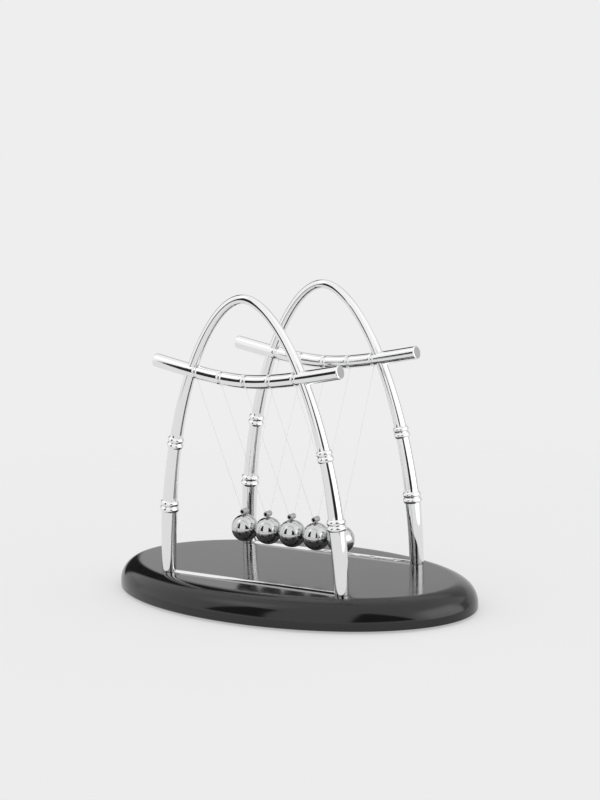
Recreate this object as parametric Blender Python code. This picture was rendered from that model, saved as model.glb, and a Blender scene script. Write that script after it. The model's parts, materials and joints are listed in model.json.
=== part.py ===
"""A desk newtons cradle: five steel balls hang on V-shaped cords between two arched, bamboo-style
chrome frames that stand on an oval lacquered plinth.

Frame: the origin is on the table under the middle of the plinth. X runs along the row of balls,
-Y points to the front frame and Z is up. Lengths are in metres, built from millimetres.
"""

import math

import bmesh
import bpy
from mathutils import Vector

MM = 0.001
GAP = 0.3 * MM  # left between pieces that rest on or hold each other
CUT_PAST = 2.0 * MM  # how far a cutting shape reaches past the face it opens
WELD = 0.0001 * MM
SHARP_ANGLE = math.radians(35)

# Sides of the round pieces
BALL_SIDES = (20, 12)
PLINTH_SIDES = 64
FELT_SIDES = 48
FRAME_SIDES = 16
SCREW_SIDES = 16
FOOT_HOLE_SIDES = 12
TUBE_SIDES = 12
STEM_SIDES = 8
CORD_SIDES = 6
LOOP_SIDES = (5, 14)
KNOT_SIDES = (8, 6)

# Balls, and the small tube on top of each that its cord runs through
BALL_COUNT = 5
BALL_RADIUS = 8.0 * MM
BALL_PITCH = 16.55 * MM
BALL_HEIGHT = 19.9 * MM  # centre above the top of the plinth
STEM_RADIUS = 0.6 * MM
STEM_DEPTH = 2.9 * MM  # below the ball's top
SADDLE_RADIUS = 1.15 * MM  # the stem widens under the tube
TUBE_RADIUS = 1.6 * MM
TUBE_BORE = 0.9 * MM
TUBE_LENGTH = 4.8 * MM
TUBE_CHAMFER = 0.2 * MM
TUBE_ABOVE_BALL = BALL_RADIUS + GAP + TUBE_RADIUS  # tube centre above the ball's centre

# Cords
CORD_RADIUS = 0.2 * MM
KNOT_RADIUS = 0.5 * MM
KNOT_SINK = 0.3  # of its radius, into the loop

# Felt sheet and plinth
FELT_THICKNESS = 1.0 * MM
FELT_INSET = 6.0 * MM
PLINTH_HALF_LENGTH = 114.6 * MM
PLINTH_HALF_WIDTH = 69.3 * MM
PLINTH_BOTTOM = FELT_THICKNESS + GAP
PLINTH_TOP = 16.8 * MM
EDGE_INSET = 13.3 * MM  # how far in from the outline the flat top starts
EDGE_DROP = 12.6 * MM  # how far below the top the upright band starts
BOTTOM_CHAMFER = 0.8 * MM
EDGE_STEPS = 6

# Side frames: heights and lengths above the top of the plinth
FRAME_Y = 39.8 * MM  # each frame's plane, in front of and behind the balls
ARCH_HEIGHT = 159.25 * MM  # the arch's centre line at its top
FOOT_X = 58.75 * MM
FOOT_HANDLE = 93.6 * MM  # reach of the arch's curve straight up from the foot
TOP_HANDLE = 24.1 * MM  # and level from its top
COLLAR_STARTS = (35.5 * MM, 73.2 * MM)  # along the leg from its foot
COLLAR_RING = 3.3 * MM  # each collar is two such rings
COLLAR_BULGE = 0.9 * MM
COLLAR_STEP = 0.15 * MM
COLLAR_SECTIONS = 4  # in each ring
FOOT_CHAMFER = 0.25 * MM
FOOT_LEVEL = 2.0 * MM  # up to here the leg stands upright
ARCH_TABLE_STEPS = 400
# Bamboo joints taper from collar to collar: (distance from foot, radius) at both ends of each stretch
LEG_STRETCHES = (
    ((0.6 * MM, 4.0 * MM), (6.0 * MM, 4.15 * MM), (20.0 * MM, 4.35 * MM), (35.5 * MM, 4.6 * MM)),
    ((42.1 * MM, 4.25 * MM), (73.2 * MM, 3.75 * MM)),
    ((79.8 * MM, 3.6 * MM), (113.0 * MM, 3.2 * MM), (145.0 * MM, 2.75 * MM), (190.0 * MM, 2.55 * MM)),
)
ARCH_STEP = 9.0 * MM  # longest distance between the rings of the upper leg

# Crossbar: a hyperbola, lowest in the middle and nearly straight beyond the legs
BAR_LOW = 113.75 * MM
BAR_SWEEP = 6.15 * MM
BAR_BEND = 28.2 * MM
BAR_HALF_LENGTH = 62.1 * MM
BAR_RADIUS = 3.95 * MM
BAR_CHAMFER = 0.7 * MM
BAR_TILTS_FROM = 38.0 * MM  # outside the legs the bar's sections stand square to it
GROOVE_DEPTH = 0.6 * MM
GROOVE_FLOOR_HALF = 0.5 * MM
GROOVE_HALF_WIDTH = 2.0 * MM  # with its rounded shoulders
SHOULDER_STEPS = 4

# Thin strip that ties the feet of a frame together
TIE_BOTTOM = 0.3 * MM
TIE_TOP = 1.25 * MM
TIE_HALF_WIDTH = 1.05 * MM  # at the bottom
TIE_TOP_HALF_WIDTH = 0.4 * MM  # its sides slope in, as a casting's do

# Screws up through the plinth into the feet
SCREW_RADIUS = 1.5 * MM
SCREW_HEAD_RADIUS = 3.0 * MM
SCREW_HEAD_HEIGHT = 2.2 * MM
SCREW_REACH = 7.0 * MM  # into the foot
SCREW_SLOT_DEPTH = 1.1 * MM
SCREW_SLOT_WIDTH = 0.9 * MM
SCREW_SLOT_SHARE = 0.6  # of the head's radius
SCREW_CHAMFER = 0.5 * MM
WASHER_RADIUS = 3.8 * MM
WASHER_THICKNESS = 0.8 * MM
COUNTERBORE_RADIUS = 4.5 * MM
COUNTERBORE_DEPTH = 6.0 * MM

LOOP_RADIUS = BAR_RADIUS - GROOVE_DEPTH + GAP + CORD_RADIUS
KNOT_DROP = LOOP_RADIUS + (1 - KNOT_SINK) * KNOT_RADIUS
SWING_DROP = KNOT_DROP + KNOT_RADIUS + GAP + CORD_RADIUS  # swing axis below the bar's centre line

MATERIALS = {  # base colour, metallic, roughness
    "plinth_lacquer": ((0.012, 0.012, 0.013, 1), 0.0, 0.12),
    "felt": ((0.03, 0.03, 0.032, 1), 0.0, 0.95),
    "frame_chrome": ((0.82, 0.83, 0.84, 1), 1.0, 0.06),
    "ball_steel": ((0.55, 0.56, 0.58, 1), 1.0, 0.05),
    "hanger_metal": ((0.38, 0.38, 0.39, 1), 1.0, 0.4),
    "cord_nylon": ((0.85, 0.87, 0.88, 1), 0.0, 0.25),
    "zinc_plate": ((0.62, 0.62, 0.6, 1), 1.0, 0.35),
}


# ---------------------------------------------------------------- general helpers


def clear_scene():
    for obj in list(bpy.data.objects):
        bpy.data.objects.remove(obj)


def make_material(name):
    colour, metallic, roughness = MATERIALS[name]
    material = bpy.data.materials.new(name)
    material.use_nodes = True
    shader = material.node_tree.nodes["Principled BSDF"]
    shader.inputs["Base Color"].default_value = colour
    shader.inputs["Metallic"].default_value = metallic
    shader.inputs["Roughness"].default_value = roughness
    return material


def finish_mesh(bm, name):
    """Turns a bmesh into a mesh with its faces pointing out and round stretches shaded smooth."""
    bmesh.ops.remove_doubles(bm, verts=bm.verts, dist=WELD)
    bmesh.ops.recalc_face_normals(bm, faces=bm.faces)
    mesh = bpy.data.meshes.new(name)
    bm.to_mesh(mesh)
    bm.free()
    mesh.shade_smooth()
    mesh.set_sharp_from_angle(angle=SHARP_ANGLE)
    return mesh


def place(name, mesh, material, location=(0, 0, 0), parent=None):
    obj = bpy.data.objects.new(name, mesh)
    bpy.context.scene.collection.objects.link(obj)
    obj.location = location
    obj.parent = parent
    if not mesh.materials:
        mesh.materials.append(material)
    return obj


def skin(rings, closed_path=False):
    """A bmesh through rings of points, capped at both ends unless its path is closed."""
    bm = bmesh.new()
    layers = [[bm.verts.new(point) for point in ring] for ring in rings]
    pairs = list(zip(layers, layers[1:]))
    if closed_path:
        pairs.append((layers[-1], layers[0]))
    for low, high in pairs:
        for i in range(len(low)):
            j = (i + 1) % len(low)
            bm.faces.new((low[i], low[j], high[j], high[i]))
    if not closed_path:
        bm.faces.new(reversed(layers[0]))
        bm.faces.new(layers[-1])
    return bm


def ring_across(centre, along, across, radius, sides):
    """A circle of points round centre, square to along; across is a unit vector in its plane."""
    up = along.normalized().cross(across)
    angles = [2 * math.pi * i / sides for i in range(sides)]
    return [centre + radius * (math.cos(a) * across + math.sin(a) * up) for a in angles]


def turned(profile, sides, name, closed_path=False):
    """A mesh turned about Z from (radius, height) points, listed from the bottom to the top."""
    z_axis, x_axis = Vector((0, 0, 1)), Vector((1, 0, 0))
    rings = [ring_across(Vector((0, 0, z)), z_axis, x_axis, r, sides) for r, z in profile]
    return finish_mesh(skin(rings, closed_path), name)


def hoop(section, turns, name):
    """A mesh turned about X from a closed section of (x, radius) points, with no edge straight up."""
    angles = [2 * math.pi * (i + 0.5) / turns for i in range(turns)]
    rings = [[Vector((x, r * math.cos(a), r * math.sin(a))) for x, r in section] for a in angles]
    return finish_mesh(skin(rings, closed_path=True), name)


def box_mesh(low, high, name):
    bm = bmesh.new()
    bmesh.ops.create_cube(bm, size=1)
    for vert in bm.verts:
        vert.co = Vector([lo + (c + 0.5) * (hi - lo) for lo, hi, c in zip(low, high, vert.co)])
    return finish_mesh(bm, name)


def combined(mesh, tool_mesh, operation, location=(0, 0, 0)):
    """mesh joined with, or cut by, tool_mesh placed at location."""
    body = bpy.data.objects.new("boolean_body", mesh)
    tool = bpy.data.objects.new("boolean_tool", tool_mesh)
    tool.location = location
    for obj in (body, tool):
        bpy.context.scene.collection.objects.link(obj)
    modifier = body.modifiers.new("combine", "BOOLEAN")
    modifier.operation = operation
    modifier.object = tool
    graph = bpy.context.evaluated_depsgraph_get()
    result = bpy.data.meshes.new_from_object(body.evaluated_get(graph))
    bpy.data.objects.remove(body)
    bpy.data.objects.remove(tool)
    bm = bmesh.new()
    bm.from_mesh(result)
    return finish_mesh(bm, mesh.name)


# ---------------------------------------------------------------- plinth, felt, screws


def oval_ring(inset, height, sides=PLINTH_SIDES):
    half_x, half_y = PLINTH_HALF_LENGTH - inset, PLINTH_HALF_WIDTH - inset
    angles = [2 * math.pi * i / sides for i in range(sides)]
    return [Vector((half_x * math.cos(a), half_y * math.sin(a), height)) for a in angles]


def screw_places():
    return [(x, y) for y in (-FRAME_Y, FRAME_Y) for x in (-FOOT_X, FOOT_X)]


def screw_hole():
    """The clearance hole of one screw with the counterbore for its head and washer, as a cutter."""
    ceiling = PLINTH_BOTTOM + COUNTERBORE_DEPTH
    below, above = PLINTH_BOTTOM - CUT_PAST, PLINTH_TOP + CUT_PAST
    hole = SCREW_RADIUS + GAP
    wide = COUNTERBORE_RADIUS
    profile = [(wide, below), (wide, ceiling), (hole, ceiling), (hole, above)]
    return turned(profile, SCREW_SIDES, "screw_hole")


def plinth_mesh():
    """The board: a chamfered bottom edge, an upright band and an elliptical round up to the flat top."""
    band_top = PLINTH_TOP - EDGE_DROP
    rings = [
        oval_ring(BOTTOM_CHAMFER, PLINTH_BOTTOM),
        oval_ring(0, PLINTH_BOTTOM + BOTTOM_CHAMFER),
    ]
    for i in range(EDGE_STEPS + 1):
        angle = 0.5 * math.pi * i / EDGE_STEPS
        inset = EDGE_INSET * (1 - math.cos(angle))
        rings.append(oval_ring(inset, band_top + EDGE_DROP * math.sin(angle)))
    mesh = finish_mesh(skin(rings), "plinth")
    for x, y in screw_places():
        mesh = combined(mesh, screw_hole(), "DIFFERENCE", (x, y, 0))
    return mesh


def felt_mesh():
    rings = [oval_ring(FELT_INSET, z, FELT_SIDES) for z in (0, FELT_THICKNESS)]
    return finish_mesh(skin(rings), "base_felt")


def washer_mesh():
    """A plain washer with its top face at z = 0."""
    inner, outer, low = SCREW_RADIUS + GAP, WASHER_RADIUS, -WASHER_THICKNESS
    profile = [(inner, low), (outer, low), (outer, 0), (inner, 0)]
    return turned(profile, SCREW_SIDES, "screw_washer", closed_path=True)


def screw_mesh():
    """A pan-head screw that points up, with the underside of its head at z = 0."""
    shank = PLINTH_TOP + SCREW_REACH - screw_seat()
    edge = SCREW_CHAMFER
    low = -SCREW_HEAD_HEIGHT
    profile = [
        (SCREW_HEAD_RADIUS - 2 * edge, low),
        (SCREW_HEAD_RADIUS, low + 2 * edge),
        (SCREW_HEAD_RADIUS, 0),
        (SCREW_RADIUS, 0),
        (SCREW_RADIUS, shank - edge),
        (SCREW_RADIUS - edge, shank),
    ]
    mesh = turned(profile, SCREW_SIDES, "frame_screw")
    long_half, short_half = SCREW_SLOT_SHARE * SCREW_HEAD_RADIUS, 0.5 * SCREW_SLOT_WIDTH
    for half_x, half_y in ((long_half, short_half), (short_half, long_half)):
        slot_low, slot_high = low - CUT_PAST, low + SCREW_SLOT_DEPTH
        slot = box_mesh((-half_x, -half_y, slot_low), (half_x, half_y, slot_high), "slot")
        mesh = combined(mesh, slot, "DIFFERENCE")
    return mesh


def washer_seat():
    return PLINTH_BOTTOM + COUNTERBORE_DEPTH - GAP


def screw_seat():
    return washer_seat() - WASHER_THICKNESS - GAP


def build_base():
    place("plinth", plinth_mesh(), make_material("plinth_lacquer"))
    place("base_felt", felt_mesh(), make_material("felt"))
    zinc = make_material("zinc_plate")
    screw, washer = screw_mesh(), washer_mesh()
    for number, (x, y) in enumerate(screw_places(), 1):
        place(f"frame_screw_{number}", screw, zinc, (x, y, screw_seat()))
        place(f"screw_washer_{number}", washer, zinc, (x, y, washer_seat()))


# ---------------------------------------------------------------- side frames


def arch_point(t):
    """The arch's centre line in its own plane, from the right foot (t = 0) to the top (t = 1)."""
    foot, foot_handle = Vector((FOOT_X, 0)), Vector((FOOT_X, FOOT_HANDLE))
    top_handle, top = Vector((TOP_HANDLE, ARCH_HEIGHT)), Vector((0, ARCH_HEIGHT))
    s = 1 - t
    return s**3 * foot + 3 * s * s * t * foot_handle + 3 * s * t * t * top_handle + t**3 * top


def arch_table():
    """(distance from the foot, point, direction) at even steps of the curve."""
    steps = ARCH_TABLE_STEPS
    points = [arch_point(i / steps) for i in range(steps + 1)]
    rows, distance = [(0.0, points[0], Vector((0, 1)))], 0.0
    for i in range(1, steps):
        distance += (points[i] - points[i - 1]).length
        rows.append((distance, points[i], (points[i + 1] - points[i - 1]).normalized()))
    distance += (points[steps] - points[steps - 1]).length
    rows.append((distance, points[steps], Vector((-1, 0))))
    return rows


def leg_stations(length):
    """(distance from the foot, radius) of every ring from the foot up to the top of the arch."""
    stations = [(GAP, LEG_STRETCHES[0][0][1] - FOOT_CHAMFER)]
    for number, stretch in enumerate(LEG_STRETCHES):
        if number:
            start = COLLAR_STARTS[number - 1]
            below, above = LEG_STRETCHES[number - 1][-1][1], stretch[0][1]
            for i in range(2 * COLLAR_SECTIONS + 1):
                u = i / COLLAR_SECTIONS  # 0 to 2, one unit for each ring
                core = below + (above - below) * u / 2 + COLLAR_STEP
                bulge = COLLAR_BULGE * abs(math.sin(math.pi * u))
                stations.append((start + u * COLLAR_RING, core + bulge))
        for (s0, r0), (s1, r1) in zip(stretch, stretch[1:]):
            s1, r1 = (length, r1) if s1 > length else (s1, r1)
            pieces = max(1, math.ceil((s1 - s0) / (ARCH_STEP if number == 2 else 2 * ARCH_STEP)))
            for i in range(pieces):
                stations.append((s0 + (s1 - s0) * i / pieces, r0 + (r1 - r0) * i / pieces))
        stations.append((s1, r1))
    return stations


def arch_rings(sides):
    """Rings of the whole arch, from the right foot over the top to the left foot."""
    rows = arch_table()
    right = []
    row = 0
    for distance, radius in leg_stations(rows[-1][0]):
        while row < len(rows) - 1 and rows[row][0] < distance:
            row += 1
        _, point, direction = rows[row]
        if distance < FOOT_LEVEL:
            point, direction = Vector((FOOT_X, distance)), Vector((0, 1))
        right.append((point, direction, radius))
    left = [(Vector((-p.x, p.y)), Vector((d.x, -d.y)), r) for p, d, r in reversed(right[:-1])]
    y_axis = Vector((0, 1, 0))
    return [
        ring_across(Vector((p.x, 0, p.y)), Vector((d.x, 0, d.y)), y_axis, r, sides)
        for p, d, r in right + left
    ]


def bar_height(x):
    return BAR_LOW + BAR_SWEEP * (math.sqrt(1 + (x / BAR_BEND) ** 2) - 1)


def ball_x(number):
    return (number - (BALL_COUNT + 1) / 2) * BALL_PITCH


def bar_stations():
    """(x, radius) of the plain crossbar's rings from left to right, closest together between the legs."""
    end, full, count = BAR_HALF_LENGTH, BAR_RADIUS, 2 * BALL_COUNT - 1
    inner = [(ball_x(1 + i / 2), full) for i in range(count)]
    left = [(-end, full - BAR_CHAMFER), (-end + BAR_CHAMFER, full), (-BAR_TILTS_FROM, full)]
    right = [(-x, radius) for x, radius in reversed(left)]
    return left + inner + right


def bar_rings(sides):
    """Between the legs the sections stand upright, so that each cord's loop hangs in its groove."""
    rings = []
    for x, radius in bar_stations():
        slope = (bar_height(x + MM) - bar_height(x - MM)) / (2 * MM)
        along = Vector((1, 0, slope if abs(x) > BAR_TILTS_FROM else 0))
        rings.append(ring_across(Vector((x, 0, bar_height(x))), along, Vector((0, 1, 0)), radius, sides))
    return rings


def groove_cutter():
    """Cuts one cord groove: a floor between rounded shoulders, and clearance for the cord above the bar."""
    outer = LOOP_RADIUS + CORD_RADIUS + GAP
    shoulder = []
    for i in range(SHOULDER_STEPS + 1):
        angle = 0.5 * math.pi * i / SHOULDER_STEPS
        reach = GROOVE_HALF_WIDTH + (GROOVE_FLOOR_HALF - GROOVE_HALF_WIDTH) * math.sin(angle)
        shoulder.append((reach, BAR_RADIUS - GROOVE_DEPTH * (1 - math.cos(angle))))
    right = [(GROOVE_FLOOR_HALF + 2 * GAP, outer), (GROOVE_HALF_WIDTH, BAR_RADIUS + GAP / 2)] + shoulder
    left = [(-x, radius) for x, radius in reversed(right)]
    return hoop(right + left, FRAME_SIDES, "groove")


def side_frame_mesh():
    """One die-casting: arch, crossbar and tie strip, with cord grooves and a blind screw hole per foot."""
    mesh = finish_mesh(skin(arch_rings(FRAME_SIDES)), "side_frame")
    bar = finish_mesh(skin(bar_rings(FRAME_SIDES)), "bar")
    tie_section = [
        (-TIE_HALF_WIDTH, TIE_BOTTOM),
        (TIE_HALF_WIDTH, TIE_BOTTOM),
        (TIE_TOP_HALF_WIDTH, TIE_TOP),
        (-TIE_TOP_HALF_WIDTH, TIE_TOP),
    ]
    tie_rings = [[Vector((x, y, z)) for y, z in tie_section] for x in (-FOOT_X, FOOT_X)]
    tie = finish_mesh(skin(tie_rings), "tie")
    hole_depth = SCREW_REACH + CUT_PAST
    hole_radius = SCREW_RADIUS + GAP
    hole = turned([(hole_radius, -CUT_PAST), (hole_radius, hole_depth)], FOOT_HOLE_SIDES, "foot_hole")
    mesh = combined(mesh, bar, "UNION")
    mesh = combined(mesh, tie, "UNION")
    for number in range(1, BALL_COUNT + 1):
        x = ball_x(number)
        mesh = combined(mesh, groove_cutter(), "DIFFERENCE", (x, 0, bar_height(x)))
    for x in (-FOOT_X, FOOT_X):
        mesh = combined(mesh, hole, "DIFFERENCE", (x, 0, 0))
    return mesh


def build_frames():
    mesh, chrome = side_frame_mesh(), make_material("frame_chrome")
    place("front_frame", mesh, chrome, (0, -FRAME_Y, PLINTH_TOP))
    place("back_frame", mesh, chrome, (0, FRAME_Y, PLINTH_TOP))


# ---------------------------------------------------------------- pendulums


def ball_mesh():
    """A ball with a blind hole on top for the stem of its hanger."""
    bm = bmesh.new()
    around, up = BALL_SIDES
    bmesh.ops.create_uvsphere(bm, u_segments=around, v_segments=up, radius=BALL_RADIUS)
    ball = finish_mesh(bm, "ball")
    radius = STEM_RADIUS + GAP
    bottom = BALL_RADIUS - STEM_DEPTH - GAP
    hole = turned([(radius, bottom), (radius, BALL_RADIUS + CUT_PAST)], STEM_SIDES, "stem_hole")
    return combined(ball, hole, "DIFFERENCE")


def hanger_mesh():
    """A stem that carries a short cross tube, with the tube's centre at the origin and its axis along Y."""
    y_axis, x_axis, half = Vector((0, 1, 0)), Vector((1, 0, 0)), TUBE_LENGTH / 2
    stations = [
        (-half, TUBE_RADIUS - TUBE_CHAMFER),
        (-half + TUBE_CHAMFER, TUBE_RADIUS),
        (half - TUBE_CHAMFER, TUBE_RADIUS),
        (half, TUBE_RADIUS - TUBE_CHAMFER),
    ]
    outer = [ring_across(y * y_axis, y_axis, x_axis, r, TUBE_SIDES) for y, r in stations]
    tube = finish_mesh(skin(outer), "ball_hanger")
    stem_bottom = BALL_RADIUS - STEM_DEPTH - TUBE_ABOVE_BALL
    seat = -TUBE_RADIUS
    profile = [
        (STEM_RADIUS, stem_bottom),
        (STEM_RADIUS, seat),
        (SADDLE_RADIUS, seat),
        (SADDLE_RADIUS, seat / 2),
    ]
    stem = turned(profile, TUBE_SIDES, "stem")
    bore = [ring_across(y * y_axis, y_axis, x_axis, TUBE_BORE, STEM_SIDES) for y in (-2 * half, 2 * half)]
    tube = combined(tube, stem, "UNION")
    return combined(tube, finish_mesh(skin(bore), "bore"), "DIFFERENCE")


def cord_mesh(drop, name):
    """The V of one cord: down from the front swing point, through the hanger's bore, up to the back one."""
    x_axis = Vector((1, 0, 0))
    mouth = TUBE_LENGTH / 2 + GAP + CORD_RADIUS
    level = -drop + TUBE_BORE - GAP - CORD_RADIUS
    right = [Vector((0, mouth, level)), Vector((0, FRAME_Y, 0))]
    points = [Vector((p.x, -p.y, p.z)) for p in reversed(right)] + right
    rings = []
    for i, point in enumerate(points):
        before, after = points[max(i - 1, 0)], points[min(i + 1, len(points) - 1)]
        along = (point - before).normalized() + (after - point).normalized()
        rings.append(ring_across(point, along, x_axis, CORD_RADIUS, CORD_SIDES))
    return finish_mesh(skin(rings), name)


def knot_mesh():
    """The end of a cord: a loop round the bar's groove and the knot under it, centred on the bar."""
    sides, turns = LOOP_SIDES
    angles = [2 * math.pi * i / sides for i in range(sides)]
    section = [(CORD_RADIUS * math.sin(a), LOOP_RADIUS + CORD_RADIUS * math.cos(a)) for a in angles]
    loop = hoop(section, turns, "cord_end")
    bm = bmesh.new()
    around, up = KNOT_SIDES
    bmesh.ops.create_uvsphere(bm, u_segments=around, v_segments=up, radius=KNOT_RADIUS)
    return combined(loop, finish_mesh(bm, "knot"), "UNION", (0, 0, -KNOT_DROP))


def build_pendulums():
    steel, hanger_metal = make_material("ball_steel"), make_material("hanger_metal")
    nylon = make_material("cord_nylon")
    ball, hanger, knot = ball_mesh(), hanger_mesh(), knot_mesh()
    ball_z = PLINTH_TOP + BALL_HEIGHT
    for number in range(1, BALL_COUNT + 1):
        x = ball_x(number)
        bar_z = PLINTH_TOP + bar_height(x)
        swing_z = bar_z - SWING_DROP
        drop = swing_z - ball_z - TUBE_ABOVE_BALL
        pivot = bpy.data.objects.new(f"swing_axis_{number}", None)
        bpy.context.scene.collection.objects.link(pivot)
        pivot.location = (x, 0, swing_z)
        place(f"ball_{number}", ball, steel, (0, 0, ball_z - swing_z), pivot)
        place(f"ball_hanger_{number}", hanger, hanger_metal, (0, 0, -drop), pivot)
        name = f"cord_{number}"
        place(name, cord_mesh(drop, name), nylon, (0, 0, 0), pivot)
        place(f"cord_end_front_{number}", knot, nylon, (x, -FRAME_Y, bar_z))
        place(f"cord_end_back_{number}", knot, nylon, (x, FRAME_Y, bar_z))


clear_scene()
build_base()
build_frames()
build_pendulums()
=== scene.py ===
"""The looks of a desk newtons cradle: chrome side frames, steel balls on nylon cords, a lacquered plinth.

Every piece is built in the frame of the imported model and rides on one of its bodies. Lengths are in metres,
X runs along the row of balls, -Y points to the front frame and Z is up.
"""

import json
import math

import bmesh
import bpy
import numpy as np
from mathutils import Matrix, Vector, noise


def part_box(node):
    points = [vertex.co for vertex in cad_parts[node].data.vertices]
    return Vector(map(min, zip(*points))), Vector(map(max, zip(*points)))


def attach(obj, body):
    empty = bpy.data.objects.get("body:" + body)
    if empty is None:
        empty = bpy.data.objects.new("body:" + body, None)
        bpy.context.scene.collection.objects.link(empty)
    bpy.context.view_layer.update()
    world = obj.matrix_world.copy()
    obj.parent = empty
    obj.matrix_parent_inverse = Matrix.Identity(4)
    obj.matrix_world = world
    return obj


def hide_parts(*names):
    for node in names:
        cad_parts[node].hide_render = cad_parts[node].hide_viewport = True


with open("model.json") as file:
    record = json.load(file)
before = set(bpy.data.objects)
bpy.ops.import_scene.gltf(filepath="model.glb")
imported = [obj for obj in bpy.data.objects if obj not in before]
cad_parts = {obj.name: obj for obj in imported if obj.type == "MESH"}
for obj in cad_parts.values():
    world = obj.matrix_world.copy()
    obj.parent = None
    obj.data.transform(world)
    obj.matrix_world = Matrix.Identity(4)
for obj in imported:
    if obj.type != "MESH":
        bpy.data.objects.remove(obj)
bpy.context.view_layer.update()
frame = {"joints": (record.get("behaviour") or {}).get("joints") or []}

MM = 0.001
WELD_DISTANCE = 0.0002 * MM
SHARP_ANGLE = math.radians(30)  # edges that bend by more are shaded sharp
X_AXIS = np.array((1.0, 0.0, 0.0))
Y_AXIS = np.array((0.0, 1.0, 0.0))
Z_AXIS = np.array((0.0, 0.0, 1.0))

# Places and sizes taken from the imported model
PLINTH_LOW, PLINTH_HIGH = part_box("plinth")
FELT_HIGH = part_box("base_felt")[1]
FRAME_LOW, FRAME_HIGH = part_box("front_frame")
BALL_LOW, BALL_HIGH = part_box("ball_1")
HANGER_LOW, HANGER_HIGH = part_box("ball_hanger_1")
SCREW_LOW, SCREW_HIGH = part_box("frame_screw_1")
WASHER_LOW, WASHER_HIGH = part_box("screw_washer_1")
PLINTH_TOP = PLINTH_HIGH.z
FRAME_Y = abs(FRAME_LOW.y + FRAME_HIGH.y) / 2
FOOT_X = abs(SCREW_LOW.x + SCREW_HIGH.x) / 2
BALL_RADIUS = (BALL_HIGH.y - BALL_LOW.y) / 2
BALL_Z = BALL_LOW.z + BALL_RADIUS
SWING_POINTS = [joint["pos_m"] for joint in frame["joints"]]
BALL_XS = [point[0] for point in SWING_POINTS]

# Arches: heights and lengths from the top of the plinth, along each leg from its foot
ARCH_TOP_RADIUS = 2.55 * MM
ARCH_HEIGHT = FRAME_HIGH.z - PLINTH_TOP - ARCH_TOP_RADIUS
FOOT_HANDLE = 93.6 * MM
TOP_HANDLE = 24.1 * MM
FOOT_GAP = 0.02 * MM  # the feet and the tie stand on the plinth
FOOT_ROUND = 0.08 * MM
FOOT_HOLE_RADIUS = 1.8 * MM
FOOT_HOLE_DEPTH = 9.0 * MM
COLLAR_RING = 3.3 * MM
COLLAR_BULGE = 0.9 * MM
COLLAR_STEP = 0.15 * MM
COLLAR_FOOT = 0.02 * MM  # length of the small step up to a collar
LEG_RING_SPACING = 1.2 * MM
# Bamboo stretches of a leg: (distance from foot, radius) at their ends
LEG_STRETCHES = (
    ((0.0 * MM, 4.0 * MM), (6.0 * MM, 4.15 * MM), (20.0 * MM, 4.35 * MM), (35.5 * MM, 4.6 * MM)),
    ((42.1 * MM, 4.25 * MM), (73.2 * MM, 3.75 * MM)),
    ((79.8 * MM, 3.6 * MM), (113.0 * MM, 3.2 * MM), (145.0 * MM, 2.75 * MM), (190.0 * MM, ARCH_TOP_RADIUS)),
)

# Crossbars: a hyperbola, lowest in the middle
BAR_LOW = 113.75 * MM
BAR_SWEEP = 6.15 * MM
BAR_BEND = 28.2 * MM
BAR_HALF_LENGTH = 62.1 * MM
BAR_RADIUS = 3.95 * MM
BAR_CHAMFER = 0.7 * MM
BAR_TILTS_FROM = 38.0 * MM
GROOVE_DEPTH = 0.6 * MM
GROOVE_HALF_WIDTH = 2.0 * MM  # with its rounded shoulders
GROOVE_FLOOR_HALF = 0.5 * MM
TIE_BOTTOM = FOOT_GAP
TIE_TOP = 1.25 * MM
TIE_HALF_WIDTH = 1.05 * MM  # at the bottom
TIE_TOP_HALF_WIDTH = 0.4 * MM
TIE_ROUND = 0.25 * MM

# Cords, their loops and knots
CORD_RADIUS = 0.2 * MM
LOOP_CLEARANCE = 0.3 * MM
LOOP_RADIUS = BAR_RADIUS - GROOVE_DEPTH + LOOP_CLEARANCE + CORD_RADIUS
KNOT_DROP = LOOP_RADIUS + 0.35 * MM
KNOT_SIZE = 0.16 * MM
KNOT_CORD_RADIUS = 0.9 * CORD_RADIUS  # drawn tight
CORD_BEND = 1.2 * MM  # length of the bend at each mouth of the hanger
CORD_TUCK = 0.6 * MM  # how far the cord's end turns up into its knot

# Hangers
TUBE_RADIUS = (HANGER_HIGH.x - HANGER_LOW.x) / 2
TUBE_BORE = 0.9 * MM
TUBE_Z = HANGER_HIGH.z - TUBE_RADIUS
STEM_RADIUS = 0.6 * MM
SADDLE_RADIUS = 1.15 * MM
STEM_CLEARANCE = 0.3 * MM
HANGER_ROUND = 0.22 * MM

# Plinth edge
EDGE_INSET = 13.3 * MM
EDGE_DROP = 12.6 * MM
BOTTOM_CHAMFER = 0.8 * MM
FLAT_RINGS = (1.5 * MM, 6 * MM)  # on the flat top, from where the round ends
FELT_FUZZ = 0.12 * MM
FELT_FUZZ_SIZE = 1.5 * MM
FELT_EDGE = (  # (inset in mm, share of the thickness), from the underside round to the top
    (8, 0.04),
    (3, 0),
    (0.35, 0),
    (0.1, 0.2),
    (0, 0.5),
    (0.1, 0.8),
    (0.35, 1),
    (3, 1),
    (8, 1),
)

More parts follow.
